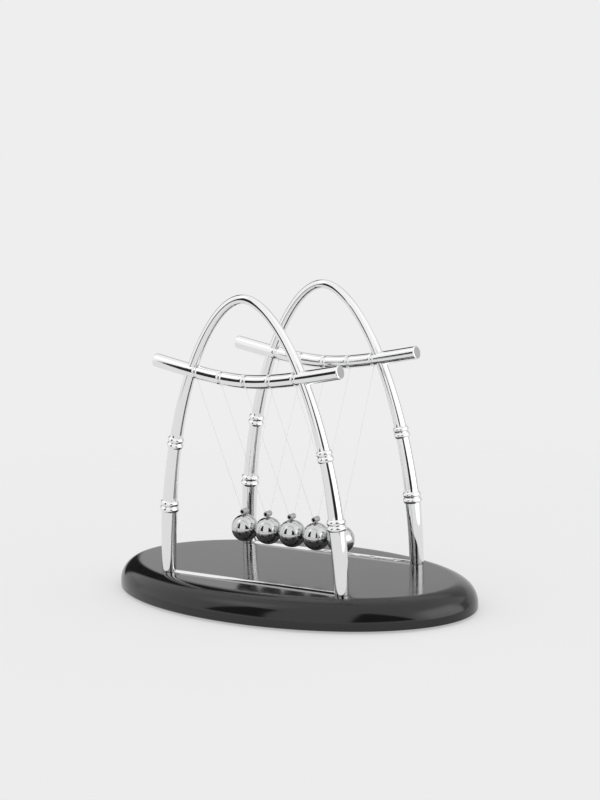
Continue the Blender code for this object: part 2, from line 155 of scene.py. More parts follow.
# Screws and washers, hidden under the plinth
SCREW_RADIUS = 1.5 * MM
SCREW_HEAD_RADIUS = (SCREW_HIGH.x - SCREW_LOW.x) / 2
SCREW_HEAD_HEIGHT = 2.2 * MM
SCREW_CROWN = 1.2 * MM
SCREW_RIM = 0.2 * MM
SCREW_TIP = 0.5 * MM
SCREW_Z = SCREW_LOW.z + SCREW_HEAD_HEIGHT
THREAD_PITCH = 0.7 * MM
THREAD_DEPTH = 0.3 * MM
RECESS_DEPTH = 1.1 * MM
RECESS_HALF_LENGTH = 1.8 * MM
RECESS_HALF_WIDTH = 0.45 * MM
RECESS_ROUND = 0.15 * MM
WASHER_RADIUS = (WASHER_HIGH.x - WASHER_LOW.x) / 2
WASHER_BORE = 1.8 * MM
WASHER_ROLL = 0.25 * MM


# ---------------------------------------------------------------- mesh helpers


def mesh_from(name, points, faces):
    mesh = bpy.data.meshes.new(name)
    mesh.from_pydata(points, [], faces)
    return settle(mesh)


def settle(mesh):
    """Faces point out and round stretches are shaded smooth."""
    bm = bmesh.new()
    bm.from_mesh(mesh)
    bmesh.ops.remove_doubles(bm, verts=bm.verts, dist=WELD_DISTANCE)
    bmesh.ops.recalc_face_normals(bm, faces=bm.faces)
    bm.to_mesh(mesh)
    bm.free()
    mesh.shade_smooth()
    mesh.set_sharp_from_angle(angle=SHARP_ANGLE)
    return mesh


def skin(name, rings, closed_path=False):
    """A mesh through rings of equally many points. An open path is capped at both ends."""
    count, sides = len(rings), len(rings[0])
    points = np.concatenate(rings).tolist()
    faces = []
    for low in range(count if closed_path else count - 1):
        high = (low + 1) % count
        for i in range(sides):
            j = (i + 1) % sides
            faces.append((low * sides + i, low * sides + j, high * sides + j, high * sides + i))
    if not closed_path:
        faces.append(tuple(reversed(range(sides))))
        faces.append(tuple(range((count - 1) * sides, count * sides)))
    return mesh_from(name, points, faces)


def ring(centre, along, across, radius, sides):
    """Points round centre, square to along; across is a unit vector in their plane."""
    up = np.cross(along / np.linalg.norm(along), across)
    turn = 2 * np.pi * np.arange(sides) / sides
    spokes = np.outer(np.cos(turn), across) + np.outer(np.sin(turn), up)
    return np.asarray(centre) + np.reshape(radius, (-1, 1)) * spokes


def turned(name, profile, sides, closed_path=False):
    """A mesh turned about Z from (radius, height) points."""
    return skin(name, [ring((0, 0, z), Z_AXIS, X_AXIS, r, sides) for r, z in profile], closed_path)


def arc(centre, radii, start, stop, steps):
    """Points of an elliptical arc, from start to stop degrees."""
    turn = np.radians(np.linspace(start, stop, steps + 1))
    return [(centre[0] + radii[0] * math.cos(a), centre[1] + radii[1] * math.sin(a)) for a in turn]


def tube(name, path, radius, sides, across=None, closed_path=False):
    """A round tube along a path. Without across, its rings are turned by the path's own bend."""
    path = np.array(path)
    if closed_path:
        along = np.roll(path, -1, axis=0) - np.roll(path, 1, axis=0)
    else:
        along = np.gradient(path, axis=0)
    along /= np.linalg.norm(along, axis=1)[:, None]
    rings = []
    for point, tangent in zip(path, along):
        side = across
        if side is None:
            side = point - (point @ tangent) * tangent
            side = side / np.linalg.norm(side)
        rings.append(ring(point, tangent, side, radius, sides))
    return skin(name, rings, closed_path)


def combined(mesh, tool_mesh, operation, location=(0, 0, 0), crosses_itself=False):
    """mesh joined with, or cut by, tool_mesh placed at location. Say so if the tool crosses itself."""
    body = bpy.data.objects.new("boolean_body", mesh)
    tool = bpy.data.objects.new("boolean_tool", tool_mesh)
    tool.location = location
    for obj in (body, tool):
        bpy.context.scene.collection.objects.link(obj)
    modifier = body.modifiers.new("combine", "BOOLEAN")
    modifier.operation = operation
    modifier.object = tool
    modifier.use_self = crosses_itself
    graph = bpy.context.evaluated_depsgraph_get()
    result = bpy.data.meshes.new_from_object(body.evaluated_get(graph))
    bpy.data.objects.remove(body)
    bpy.data.objects.remove(tool)
    result.name = mesh.name
    assert result.polygons, f"{result.name} came out empty"
    return settle(result)


def rounded_box(name, low, high, radius):
    bm = bmesh.new()
    bmesh.ops.create_cube(bm, size=1)
    for vert in bm.verts:
        vert.co = Vector([lo + (c + 0.5) * (hi - lo) for lo, hi, c in zip(low, high, vert.co)])
    bmesh.ops.bevel(bm, geom=bm.edges[:], offset=radius, segments=4, profile=0.5, affect="EDGES")
    mesh = bpy.data.meshes.new(name)
    bm.to_mesh(mesh)
    bm.free()
    return settle(mesh)


def piece(name, mesh, material, body, node, location=(0, 0, 0)):
    """A visible piece that stands for one CAD node and rides on its body."""
    obj = bpy.data.objects.new(name, mesh)
    bpy.context.scene.collection.objects.link(obj)
    obj.location = location
    if not mesh.materials:
        mesh.materials.append(material)
    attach(obj, body)
    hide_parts(node)
    return obj


# ---------------------------------------------------------------- materials


class Graph:
    """Short names for building a node tree."""

    def __init__(self, tree):
        self.tree = tree

    def node(self, kind, inputs=(), **settings):
        made = self.tree.nodes.new(kind)
        for key, value in settings.items():
            setattr(made, key, value)
        for key, value in dict(inputs).items():
            self.set(made.inputs[key], value)
        return made

    def set(self, socket, value):
        if isinstance(value, bpy.types.NodeSocket):
            self.tree.links.new(value, socket)
        else:
            socket.default_value = value

    def math(self, operation, a, b=0.0, clamp=False):
        made = self.node("ShaderNodeMath", {0: a, 1: b}, operation=operation, use_clamp=clamp)
        return made.outputs[0]

    def between(self, value, low, high, start, stop, smooth=True):
        """value carried from the range low..high to start..stop, held at both ends."""
        inputs = {"Value": value, "From Min": low, "From Max": high, "To Min": start, "To Max": stop}
        kind = "SMOOTHSTEP" if smooth else "LINEAR"
        return self.node("ShaderNodeMapRange", inputs, interpolation_type=kind).outputs[0]

    def mix(self, factor, a, b):
        made = self.node("ShaderNodeMix", data_type="RGBA")
        self.set(made.inputs[0], factor)
        self.set(made.inputs[6], a)
        self.set(made.inputs[7], b)
        return made.outputs[2]

    def noise(self, size, detail=3.0, roughness=0.5, stretch=(1, 1, 1)):
        """Noise whose lumps are about size metres across, stretched along each axis."""
        place = self.node("ShaderNodeTexCoord").outputs["Object"]
        scaled = self.node("ShaderNodeVectorMath", {0: place, 1: stretch}, operation="DIVIDE").outputs[0]
        inputs = {"Vector": scaled, "Scale": 1 / size, "Detail": detail, "Roughness": roughness}
        return self.node("ShaderNodeTexNoise", inputs).outputs[0]

    def bump(self, height, distance, strength=1.0, normal=None):
        inputs = {"Height": height, "Distance": distance, "Strength": strength}
        if normal is not None:
            inputs["Normal"] = normal
        return self.node("ShaderNodeBump", inputs).outputs[0]


def new_material(name):
    material = bpy.data.materials.new(name)
    material.use_nodes = True
    graph = Graph(material.node_tree)
    shader = material.node_tree.nodes["Principled BSDF"]
    return material, graph, shader


def chrome_material():
    """Bright plating over a casting: faint waviness, and haze that varies a little."""
    material, g, shader = new_material("polished_chrome")
    haze = g.between(g.noise(9 * MM, 4), 0.35, 0.75, 0.025, 0.06)
    tint = g.mix(g.noise(25 * MM, 2), (0.82, 0.825, 0.83, 1), (0.86, 0.86, 0.855, 1))
    waves = g.bump(g.noise(5 * MM, 2), 0.03 * MM, 0.35)
    g.set(shader.inputs["Base Color"], tint)
    g.set(shader.inputs["Metallic"], 1.0)
    g.set(shader.inputs["Roughness"], haze)
    g.set(shader.inputs["Normal"], waves)
    return material


def ball_material():
    """Hardened steel, ground and polished: darker than chrome, with hair-fine wipe marks."""
    material, g, shader = new_material("polished_steel")
    wipes = g.noise(1.2 * MM, 6, 0.7, stretch=(1, 1, 0.15))
    haze = g.between(wipes, 0.4, 0.75, 0.03, 0.075)
    tint = g.mix(g.noise(6 * MM, 3), (0.57, 0.575, 0.585, 1), (0.63, 0.63, 0.625, 1))
    g.set(shader.inputs["Base Color"], tint)
    g.set(shader.inputs["Metallic"], 1.0)
    g.set(shader.inputs["Roughness"], haze)
    g.set(shader.inputs["Normal"], g.bump(wipes, 0.002 * MM, 0.15))
    return material


def hanger_material():
    """Tumbled soft metal: grey with pits and small bright rubs, and a bore coloured near black as painted
    shade.
    """
    material, g, shader = new_material("tumbled_metal")
    pits = g.noise(0.5 * MM, 5, 0.65)
    outside = g.mix(g.between(pits, 0.35, 0.68, 0, 1), (0.30, 0.30, 0.30, 1), (0.80, 0.80, 0.79, 1))
    place = g.node("ShaderNodeSeparateXYZ", {0: g.node("ShaderNodeTexCoord").outputs["Object"]})
    across, up = place.outputs[0], place.outputs[2]
    from_axis = g.math("SQRT", g.math("ADD", g.math("MULTIPLY", across, across), g.math("MULTIPLY", up, up)))
    # Painted shade: inside the bore the colour goes near black and stands in for the shade in the hole
    painted_bore_shade = g.between(from_axis, TUBE_BORE + 0.04 * MM, TUBE_BORE + 0.14 * MM, 1, 0)
    tone = g.mix(painted_bore_shade, outside, (0.02, 0.02, 0.02, 1))
    g.set(shader.inputs["Base Color"], tone)
    g.set(shader.inputs["Metallic"], 0.85)
    g.set(shader.inputs["Roughness"], g.between(pits, 0.3, 0.7, 0.55, 0.32))
    g.set(shader.inputs["Normal"], g.bump(pits, 0.08 * MM, 0.6))
    return material


def lacquer_material():
    """Sprayed black gloss on board: a trace of orange peel and polishing haze."""
    material, g, shader = new_material("black_lacquer")
    haze = g.between(g.noise(30 * MM, 5, 0.6), 0.3, 0.75, 0.09, 0.15)
    tone = g.mix(g.noise(18 * MM, 4), (0.006, 0.006, 0.0062, 1), (0.009, 0.0089, 0.0088, 1))
    peel = g.bump(g.noise(2.2 * MM, 2), 0.01 * MM, 0.10)
    g.set(shader.inputs["Base Color"], tone)
    g.set(shader.inputs["Roughness"], haze)
    g.set(shader.inputs["IOR"], 1.5)
    g.set(shader.inputs["Normal"], peel)
    return material


def felt_material():
    material, g, shader = new_material("black_felt")
    fibres = g.noise(0.35 * MM, 8, 0.75)
    tone = g.mix(g.between(fibres, 0.3, 0.7, 0, 1), (0.012, 0.012, 0.013, 1), (0.055, 0.054, 0.056, 1))
    g.set(shader.inputs["Base Color"], tone)
    g.set(shader.inputs["Roughness"], 0.95)
    g.set(shader.inputs["Sheen Weight"], 0.5)
    g.set(shader.inputs["Sheen Roughness"], 0.6)
    g.set(shader.inputs["Normal"], g.bump(fibres, 0.25 * MM, 0.8))
    return material


def nylon_material():
    """Clear monofilament: mostly see-through, with a pale gloss."""
    material, g, shader = new_material("clear_nylon")
    streaks = g.noise(0.6 * MM, 3, 0.5, stretch=(1, 1, 6))
    tone = g.mix(streaks, (0.55, 0.56, 0.57, 1), (0.75, 0.76, 0.77, 1))
    g.set(shader.inputs["Base Color"], tone)
    g.set(shader.inputs["Roughness"], g.between(streaks, 0.3, 0.7, 0.12, 0.28))
    g.set(shader.inputs["Alpha"], 0.17)
    return material


def zinc_material():
    """Bright zinc plate with a mottled passivation film."""
    material, g, shader = new_material("zinc_plate")
    mottle = g.noise(1.6 * MM, 5, 0.6)
    tone = g.mix(mottle, (0.52, 0.53, 0.55, 1), (0.70, 0.69, 0.64, 1))
    g.set(shader.inputs["Base Color"], tone)
    g.set(shader.inputs["Metallic"], 1.0)
    g.set(shader.inputs["Roughness"], g.between(mottle, 0.3, 0.7, 0.28, 0.45))
    g.set(shader.inputs["Normal"], g.bump(g.noise(0.3 * MM, 4), 0.01 * MM, 0.3))
    return material


# ---------------------------------------------------------------- side frames


def arch_curve(steps=1200):
    """Distances from the foot, points (x, z) and directions of the arch's centre line, up to its top."""
    t = np.linspace(0, 1, steps + 1)[:, None]
    foot, foot_handle = np.array((FOOT_X, 0)), np.array((FOOT_X, FOOT_HANDLE))
    top_handle, top = np.array((TOP_HANDLE, ARCH_HEIGHT)), np.array((0, ARCH_HEIGHT))
    s = 1 - t
    points = s**3 * foot + 3 * s * s * t * foot_handle + 3 * s * t * t * top_handle + t**3 * top
    slopes = s * s * (foot_handle - foot) + 2 * s * t * (top_handle - foot_handle)
    slopes += t * t * (top - top_handle)
    lengths = np.linalg.norm(np.diff(points, axis=0), axis=1)
    distances = np.concatenate(([0], np.cumsum(lengths)))
    return distances, points, slopes / np.linalg.norm(slopes, axis=1)[:, None]


def leg_profile(length):
    """(distance from the foot, radius) of every ring from the foot to the top of the arch."""
    foot_radius = LEG_STRETCHES[0][0][1]
    corner = (FOOT_GAP + FOOT_ROUND, foot_radius - FOOT_ROUND)
    rows = [(corner[0] - FOOT_ROUND * math.cos(a), corner[1] + FOOT_ROUND * math.sin(a))
            for a in np.radians(np.linspace(0, 90, 7))]
    for number, stretch in enumerate(LEG_STRETCHES):
        distances, radii = zip(*stretch)
        start, stop = max(distances[0], rows[-1][0]), min(distances[-1], length)
        if number:
            rows += collar_rows(LEG_STRETCHES[number - 1][-1], stretch[0])
        plain = np.linspace(start, stop, max(2, round((stop - start) / LEG_RING_SPACING)) + 1)[1:]
        rows += [(s, float(np.interp(s, distances, radii))) for s in plain]
    return rows


def collar_rows(below, above, steps=40):
    """Two rounded rings between the ends of two bamboo stretches."""
    rows = []
    for i in range(1, steps + 1):
        u = 2 * i / steps
        core = below[1] + (above[1] - below[1]) * u / 2 + COLLAR_STEP
        bulge = COLLAR_BULGE * abs(math.sin(math.pi * u)) ** 0.8
        rows.append((below[0] + u * COLLAR_RING, core + bulge))
    return [(below[0] + COLLAR_FOOT, below[1] + COLLAR_STEP)] + rows


def arch_mesh(sides=48):
    distances, points, directions = arch_curve()
    rows = leg_profile(distances[-1])
    hole = [(FOOT_HOLE_DEPTH, FOOT_HOLE_RADIUS), (FOOT_GAP, FOOT_HOLE_RADIUS)]
    right = []
    for s, radius in hole + rows:
        x, z = (np.interp(s, distances, points[:, k]) for k in (0, 1))
        dx, dz = (np.interp(s, distances, directions[:, k]) for k in (0, 1))
        if (s, radius) in hole:
            x, dx, dz = FOOT_X, 0.0, 1.0
            z = s
        right.append((x, z, dx, dz, radius))
    left = [(-x, z, dx, -dz, radius) for x, z, dx, dz, radius in reversed(right[:-1])]
    rings = [ring((x, 0, z), np.array((dx, 0, dz)), Y_AXIS, r, sides) for x, z, dx, dz, r in right + left]
    return skin("side_frame", rings)


def bar_height(x):
    return BAR_LOW + BAR_SWEEP * (np.sqrt(1 + (x / BAR_BEND) ** 2) - 1)


def bar_radius(x):
    """Radius of the crossbar, with rounded ends and a round-shouldered groove at each ball."""
    away = min(abs(x - ball_x) for ball_x in BALL_XS)
    u = np.clip((GROOVE_HALF_WIDTH - away) / (GROOVE_HALF_WIDTH - GROOVE_FLOOR_HALF), 0, 1)
    end = np.clip((abs(x) - BAR_HALF_LENGTH + BAR_CHAMFER) / BAR_CHAMFER, 0, 1)
    groove = GROOVE_DEPTH * (1 - math.sqrt(1 - u * u))
    return BAR_RADIUS - groove - BAR_CHAMFER * (1 - math.sqrt(1 - end * end))


def bar_mesh(sides=48):
    half = BAR_HALF_LENGTH
    quarter = np.sin(np.radians(np.linspace(0, 90, 13)))
    shoulder = GROOVE_HALF_WIDTH - (GROOVE_HALF_WIDTH - GROOVE_FLOOR_HALF) * quarter
    stations = [x for x in np.linspace(-half, half, 105) if bar_radius(x) == BAR_RADIUS]
    stations += list(half - BAR_CHAMFER * (1 - quarter)) + list(-half + BAR_CHAMFER * (1 - quarter))
    for ball_x in BALL_XS:
        stations += list(ball_x + shoulder) + list(ball_x - shoulder)
    stations = sorted(set(round(float(x), 7) for x in stations))
    rings = []
    for x in stations:
        slope = (bar_height(x + MM) - bar_height(x - MM)) / (2 * MM)
        tilt = slope if abs(x) > BAR_TILTS_FROM else 0.0
        rings.append(ring((x, 0, bar_height(x)), np.array((1, 0, tilt)), Y_AXIS, bar_radius(x), sides))
    return skin("crossbar", rings)


def loop_cutter():
    """Clears a leg where a cord's loop passes it."""
    inner, outer = BAR_RADIUS - GROOVE_DEPTH, LOOP_RADIUS + CORD_RADIUS + LOOP_CLEARANCE
    half = GROOVE_FLOOR_HALF + 2 * LOOP_CLEARANCE
    section = [(-GROOVE_FLOOR_HALF, inner), (-half, outer), (half, outer), (GROOVE_FLOOR_HALF, inner)]
    turns = 2 * np.pi * (np.arange(40) + 0.5) / 40
    rings = [np.array([(x, r * math.cos(a), r * math.sin(a)) for x, r in section]) for a in turns]
    return skin("loop_cutter", rings, closed_path=True)


def tie_mesh():
    """A strip with sloping sides and softened upper edges."""
    slope = math.degrees(math.atan2(TIE_TOP - TIE_BOTTOM, TIE_HALF_WIDTH - TIE_TOP_HALF_WIDTH))
    edge = arc((TIE_TOP_HALF_WIDTH, TIE_TOP - TIE_ROUND), (TIE_ROUND, TIE_ROUND), 90 - slope, 90, 5)
    right = [(TIE_HALF_WIDTH, TIE_BOTTOM)] + edge
    section = right + [(-y, z) for y, z in reversed(right)]
    xs = np.linspace(-FOOT_X, FOOT_X, 40)
    return skin("tie", [np.array([(x, y, z) for y, z in section]) for x in xs])


def side_frame_mesh():
    arch = arch_mesh()
    for x in (BALL_XS[0], BALL_XS[-1]):
        arch = combined(arch, loop_cutter(), "DIFFERENCE", (x, 0, bar_height(x)))
    arch = combined(arch, bar_mesh(), "UNION")
    return combined(arch, tie_mesh(), "UNION")


def build_frames():
    chrome = chrome_material()
    mesh = side_frame_mesh()
    for side, y in (("front", -FRAME_Y), ("back", FRAME_Y)):
        node = f"{side}_frame"
        piece(f"{node}_casting", mesh, chrome, "stand", node, (0, y, PLINTH_TOP))


# ---------------------------------------------------------------- plinth, felt, screws


def oval(half_x, half_y, z, sides=288):
    turn = 2 * np.pi * np.arange(sides) / sides
    return np.stack((half_x * np.cos(turn), half_y * np.sin(turn), np.full(sides, z)), axis=1)


def plinth_mesh():
    """A chamfered bottom edge, an upright band and a large elliptical round up to the flat top."""
    half_x, half_y = PLINTH_HIGH.x, PLINTH_HIGH.y
    bottom, band_top = PLINTH_LOW.z, PLINTH_TOP - EDGE_DROP
    profile = [(BOTTOM_CHAMFER + 4 * MM, bottom)]
    profile += [(BOTTOM_CHAMFER * (1 - math.sin(a)), bottom + BOTTOM_CHAMFER * (1 - math.cos(a)))
                for a in np.radians(np.linspace(0, 90, 7))]
    profile += [(EDGE_INSET * (1 - math.cos(a)), band_top + EDGE_DROP * math.sin(a))
                for a in np.radians(np.linspace(0, 90, 41))]
    profile += [(EDGE_INSET + further, PLINTH_TOP) for further in FLAT_RINGS]
    return skin("plinth_board", [oval(half_x - inset, half_y - inset, z) for inset, z in profile])


def felt_mesh():
    """A sheet with a soft cut edge."""
    rings = []
    thickness = FELT_HIGH.z
    for inset, z in FELT_EDGE:
        points = oval(FELT_HIGH.x - inset * MM, FELT_HIGH.y - inset * MM, z * thickness, 360)
        if 0 < z < 1:
            fuzz = [FELT_FUZZ * (noise.noise(Vector(p) / FELT_FUZZ_SIZE) - 1) for p in points]
            points[:, :2] *= (1 + np.array(fuzz) / np.linalg.norm(points[:, :2], axis=1))[:, None]
        rings.append(points)
    return skin("felt_sheet", rings)


def screw_mesh(sides=24):
    """A pan-head screw that points up, its seat at z = 0, with a rolled thread and a cross recess."""
    low, crown, rim = -SCREW_HEAD_HEIGHT, SCREW_CROWN, SCREW_RIM
    head = arc((SCREW_HEAD_RADIUS - crown, low + crown), (crown, crown), -90, 0, 8)
    head += arc((SCREW_HEAD_RADIUS - rim, -rim), (rim, rim), 0, 90, 4)
    rings = [ring((0, 0, z), Z_AXIS, X_AXIS, r, sides) for r, z in head]
    length = SCREW_HIGH.z - SCREW_Z
    turn = np.arange(sides) / sides
    for z in np.linspace(0, length, round(6 * length / THREAD_PITCH)):
        tip = SCREW_RADIUS - max(0, z - length + SCREW_TIP)
        valley = np.abs(2 * ((z / THREAD_PITCH - turn) % 1) - 1)
        rings.append(ring((0, 0, z), Z_AXIS, X_AXIS, tip - THREAD_DEPTH * valley, sides))
    mesh = skin("frame_screw", rings)
    for half_x, half_y in ((RECESS_HALF_LENGTH, RECESS_HALF_WIDTH), (RECESS_HALF_WIDTH, RECESS_HALF_LENGTH)):
        recess = rounded_box("recess", (-half_x, -half_y, low - RECESS_DEPTH),
                             (half_x, half_y, low + RECESS_DEPTH), RECESS_ROUND)
        mesh = combined(mesh, recess, "DIFFERENCE")
    return mesh


def washer_mesh():
    """A stamped washer: its upper rims are rolled over by the punch, and its lower ones are crisp."""
    thickness, roll = WASHER_HIGH.z - WASHER_LOW.z, WASHER_ROLL
    outline = arc((WASHER_RADIUS - roll, thickness - roll), (roll, roll), 0, 90, 5)
    outline += arc((WASHER_BORE + roll, thickness - roll), (roll, roll), 90, 180, 5)
    outline += [(WASHER_BORE, 0), (WASHER_RADIUS, 0)]
    return turned("screw_washer", outline, 64, closed_path=True)


def build_base():
    piece("plinth_board", plinth_mesh(), lacquer_material(), "stand", "plinth")
    piece("felt_sheet", felt_mesh(), felt_material(), "stand", "base_felt")
    zinc, screw, washer = zinc_material(), screw_mesh(), washer_mesh()
    places = [(x, y) for y in (-FRAME_Y, FRAME_Y) for x in (-FOOT_X, FOOT_X)]
    for number, (x, y) in enumerate(places, 1):
        piece(f"threaded_screw_{number}", screw, zinc, "stand", f"frame_screw_{number}",
              (x, y, SCREW_Z))
        piece(f"stamped_washer_{number}", washer, zinc, "stand", f"screw_washer_{number}",
              (x, y, WASHER_LOW.z))


# ---------------------------------------------------------------- pendulums


def ball_mesh():
    """A ball round the origin with a blind hole on top for its hanger's stem."""
    hole = STEM_RADIUS + STEM_CLEARANCE
    tilt = math.degrees(math.acos(hole / BALL_RADIUS))
    bottom = HANGER_LOW.z - STEM_CLEARANCE - BALL_Z
    profile = [(0.05 * MM, -BALL_RADIUS)] + arc((0, 0), (BALL_RADIUS, BALL_RADIUS), -89, tilt, 96)
    profile += [(hole, bottom)]
    return turned("steel_ball", profile, 128)


def hanger_mesh():
    """A short tube along Y on a stem that widens under it; the tube's centre is the origin."""
    half = (HANGER_HIGH.y - HANGER_LOW.y) / 2
    rim = HANGER_ROUND
    outline = arc((TUBE_RADIUS - rim, half - rim), (rim, rim), 0, 90, 5)
    outline += arc((TUBE_BORE + rim, half - rim), (rim, rim), 90, 180, 5)
    outline += [(r, -y) for r, y in reversed(outline)]
    rings = [ring((0, y, 0), Y_AXIS, X_AXIS, r, 48) for r, y in outline]
    body = skin("cord_hanger", rings, closed_path=True)
    inside = -(TUBE_BORE + TUBE_RADIUS) / 2
    profile = [(STEM_RADIUS, HANGER_LOW.z - TUBE_Z), (STEM_RADIUS, -TUBE_RADIUS)]
    profile += arc((SADDLE_RADIUS - rim, rim - TUBE_RADIUS), (rim, rim), -90, 0, 4)
    profile += [(SADDLE_RADIUS, inside)]
    return combined(body, turned("stem", profile, 32), "UNION")


def cord_mesh(name, drop):
    """The V of one cord, from the swing point down through the hanger's bore and up again."""
    mouth = (HANGER_HIGH.y - HANGER_LOW.y) / 2
    level = -drop + TUBE_BORE - LOOP_CLEARANCE
    rise = FRAME_Y - mouth
    slope = -level / rise
    bend = CORD_BEND
    half = [(0.0, 0.0)]
    half += [(mouth + bend * (u - 0.5), bend * slope * u * u / 2) for u in np.linspace(0, 1, 6)]
    half += [(mouth + bend / 2 + u * (rise - bend / 2), bend * slope / 2 + u * slope * (rise - bend / 2))
             for u in np.linspace(0, 1, 30)[1:]]
    half[-1] = (half[-1][0], half[-1][1] + CORD_TUCK)
    right = [(0, y, level + z) for y, z in half]
    left = [(0, -y, z) for _, y, z in reversed(right[1:])]
    return tube(name, left + right, CORD_RADIUS, 12, across=X_AXIS)


def knot_mesh():
    """A cord's end: a loop round the bar's groove and a small overhand knot below, centred on the bar."""
    turns = 2 * np.pi * np.arange(96) / 96
    loop_path = [(0, LOOP_RADIUS * math.sin(a), LOOP_RADIUS * math.cos(a)) for a in turns]
    mesh = tube("cord_end", loop_path, CORD_RADIUS, 10, across=X_AXIS, closed_path=True)
    path = [(math.sin(a) + 2 * math.sin(2 * a), math.cos(a) - 2 * math.cos(2 * a), -1.2 * math.sin(3 * a))
            for a in 2 * np.pi * np.arange(90) / 90]
    knot = tube("knot", KNOT_SIZE * np.array(path), KNOT_CORD_RADIUS, 10, closed_path=True)
    return combined(mesh, knot, "UNION", (0, 0, -KNOT_DROP), crosses_itself=True)


def build_pendulums():
    steel, tumbled, nylon = ball_material(), hanger_material(), nylon_material()
    ball, hanger, knot = ball_mesh(), hanger_mesh(), knot_mesh()
    for number, (x, _, swing_z) in enumerate(SWING_POINTS, 1):
        body = f"pendulum_{number}"
        cord = cord_mesh(f"cord_{number}", swing_z - TUBE_Z)
        piece(f"steel_ball_{number}", ball, steel, body, f"ball_{number}", (x, 0, BALL_Z))
        piece(f"cord_hanger_{number}", hanger, tumbled, body, f"ball_hanger_{number}",
              (x, 0, TUBE_Z))
        piece(f"nylon_cord_{number}", cord, nylon, body, f"cord_{number}", (x, 0, swing_z))
        for side, y in (("front", -FRAME_Y), ("back", FRAME_Y)):
            place = (x, y, PLINTH_TOP + bar_height(x))
            node = f"cord_end_{side}_{number}"
            piece(f"knot_{side}_{number}", knot, nylon, "stand", node, place)


# ---------------------------------------------------------------- floor, light and camera

VIEW_AZIMUTH = 34.22  # degrees to the right of straight on
VIEW_ELEVATION = 9.32
VIEW_ROLL = -1.82
VIEW_DISTANCE = 1.2658
VIEW_TARGET = Vector((-0.0564, 0.0952, 0.0958))
VIEW_HEIGHT = 36.0  # mm, of the picture in the camera
VIEW_LENS = 91.63  # mm

BACKGROUND = 0.855  # brightness of the paper, from 0 to 1
FLOOR_RADIUS = 0.6
FLOOR_FADE = 0.3  # the floor turns into plain background from here out

PAPER_GREY = 0.417  # of the floor's paper
PAPER_GLOW = 0.5  # share of the floor's brightness that is its own, so that the shadow stays light

# The studio: a white tent. Its shades are (azimuth and half-width at the lower edge, the same at the upper
# edge, lower and upper elevation, softness, brightness), with angles in degrees. Azimuth counts to the right
# of the camera.
TENT_LEVEL = 1.03
SHADES_IN_FRONT = (
    ((68, 44), (68, 40), (16, 62), 26, 1.15),  # sheet lit from outside on the right
    ((76, 30), (76, 30), (-6, 18), 14, 1.7),  # its brighter foot
    ((116, 14), (116, 14), (-8, 22), 8, 0.52),  # grey wall beside it
    ((-87, 13), (-88, 13), (43, 61), 22, 1.8),  # soft light on the left
)
SHADES_BEHIND = (  # azimuth counts to the left of straight behind
    ((0, 60), (0, 60), (-2, 16), 8, 0.80),
    ((-22, 30), (-22, 30), (18, 44), 12, 0.55),
    ((20, 12), (22, 14), (0, 44), 6, 0.03),  # gap between two sheets
)
# Cards close enough to shift from piece to piece: (azimuth, distance from the middle), then across and up
# from there (centre and half-width at the lower edge, the same at the upper edge, lower and upper height),
# softness and brightness. Only reflections show them.
CARDS = (
    ((-60, 0.45), (0.0, 0.105), (0.0, 0.062), (0.06, 0.44), 0.012, 0.025),  # opening on the left
    ((17, 0.27), (-0.012, 0.092), (-0.070, 0.013), (0.028, 0.248), 0.012, 0.025),  # opening by the camera
    ((60, 0.31), (0.0, 0.12), (0.0, 0.12), (0.02, 0.19), 0.14, 2.4),  # softbox on the right
)


def card_mask(g, across, up, low, high, edges, soft):
    """1 inside a card and 0 outside, with soft edges."""
    centre = g.between(up, edges[0], edges[1], low[0], high[0], smooth=False)
    half = g.between(up, edges[0], edges[1], low[1], high[1], smooth=False)
    away = g.math("ABSOLUTE", g.math("SUBTRACT", across, centre))
    inside = g.between(g.math("SUBTRACT", half, away), -soft / 2, soft / 2, 0, 1)
    above = g.between(up, edges[0] - soft / 2, edges[0] + soft / 2, 0, 1)
    below = g.between(up, edges[1] - soft / 2, edges[1] + soft / 2, 1, 0)
    return g.math("MULTIPLY", inside, g.math("MULTIPLY", above, below))


def card_material(low, high, edges, soft, brightness):
    """Evenly bright inside the card's outline and clear around it."""
    material = bpy.data.materials.new("tent_card")
    material.use_nodes = True
    g = Graph(material.node_tree)
    g.tree.nodes.clear()
    place = g.node("ShaderNodeSeparateXYZ", {0: g.node("ShaderNodeTexCoord").outputs["Object"]})
    mask = card_mask(g, place.outputs[0], place.outputs[2], low, high, edges, soft)
    clear = g.node("ShaderNodeBsdfTransparent").outputs[0]
    glow = g.node("ShaderNodeEmission", {"Strength": brightness}).outputs[0]
    mixed = g.node("ShaderNodeMixShader", {0: mask, 1: clear, 2: glow}).outputs[0]
    g.node("ShaderNodeOutputMaterial", {"Surface": mixed})
    return material


def build_cards():
    for number, (place, low, high, edges, soft, brightness) in enumerate(CARDS, 1):
        azimuth, distance = math.radians(VIEW_AZIMUTH + place[0]), place[1]
        half = max(low[1], high[1]) + max(abs(low[0]), abs(high[0])) + soft
        bottom, top = edges[0] - soft, edges[1] + soft
        corners = [(-half, 0, bottom), (half, 0, bottom), (half, 0, top), (-half, 0, top)]
        mesh = bpy.data.meshes.new("tent_card")
        mesh.from_pydata(corners, [], [(0, 1, 2, 3)])
        mesh.materials.append(card_material(low, high, edges, soft, brightness))
        card = bpy.data.objects.new(f"tent_card_{number}", mesh)
        bpy.context.scene.collection.objects.link(card)
        card.location = (distance * math.sin(azimuth), -distance * math.cos(azimuth), 0)
        card.rotation_euler = (0, 0, azimuth)
        card.visible_camera = card.visible_diffuse = card.visible_shadow = False


